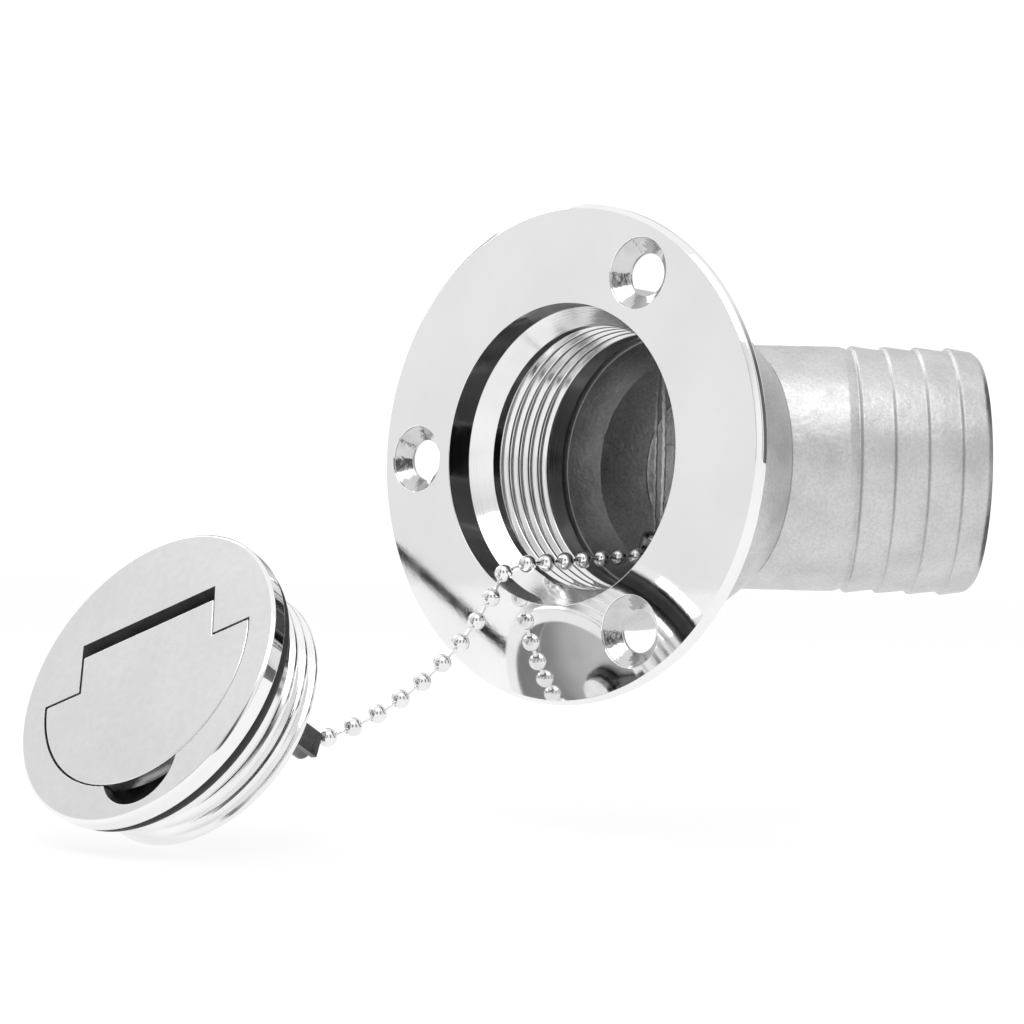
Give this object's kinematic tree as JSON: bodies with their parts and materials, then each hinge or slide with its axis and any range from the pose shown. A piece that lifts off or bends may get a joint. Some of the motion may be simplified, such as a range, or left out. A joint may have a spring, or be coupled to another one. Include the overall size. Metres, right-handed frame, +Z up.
{
  "type": "deck fill cap",
  "caption": "Angled deck filler with a screwed flange, barbed hose tail and a screw cap with fold-up handle, held by a bead chain.",
  "frame": {"origin": "centre of the flange's rear face, where it seats on the deck or cabin side", "axes": "+Y runs inward along the socket, away from the flange's polished face; +Z is up, so the flange stands upright and the chain hangs down; the hose tail bends towards +X"},
  "size_m": [0.1229, 0.1754, 0.1198],
  "materials": {
    "polished_steel": "mirror-polished stainless steel",
    "cast_steel": "bead-blasted cast stainless steel",
    "satin_steel": "satin and polished stainless steel",
    "bright_steel": "bright stainless steel chain and small parts",
    "seal": "matt black rubber"
  },
  "bodies": {
    "socket": {"flange_plate": "polished_steel", "neck_socket": "cast_steel", "hose_tail": "cast_steel", "neck_anchor": "bright_steel", "chain_inner_beads": "bright_steel", "chain_inner_links": "bright_steel"},
    "tether": {"chain_lip_beads": "bright_steel", "chain_lip_links": "bright_steel"},
    "swivel": {"chain_outer_beads": "bright_steel", "chain_outer_links": "bright_steel", "chain_clip": "bright_steel", "swivel_tab": "bright_steel"},
    "cap": {"cap_body": "satin_steel", "cap_seal_ring": "seal", "swivel_stud": "bright_steel", "hinge_pin": "bright_steel"},
    "handle": {"handle_plate": "satin_steel"}
  },
  "joints": [
    {"name": "cap_travel", "type": "slide", "parent": "socket", "child": "tether", "axis": [0, 1, 0], "range_m": [0, 0.0226], "deforming": ["chain_inner_beads", "chain_inner_links", "chain_lip_beads", "chain_lip_links"]},
    {"name": "cap_swing", "type": "hinge", "parent": "tether", "child": "swivel", "pos_m": [-0.0589, -0.0943, 0.0627], "axis": [0.7761, -0.6291, 0.045], "range_deg": [0, 37.8], "deforming": ["chain_outer_beads", "chain_outer_links"]},
    {"name": "cap_turn", "type": "hinge", "parent": "swivel", "child": "cap", "pos_m": [-0.03466, -0.07177, -0.04204], "axis": [0.0749, -0.8732, 0.4816], "continuous": true},
    {"name": "handle_flip", "type": "hinge", "parent": "cap", "child": "handle", "pos_m": [-0.03767, -0.06691, -0.03879], "axis": [-0.878, -0.2867, -0.3833], "range_deg": [0, 90]}
  ]
}
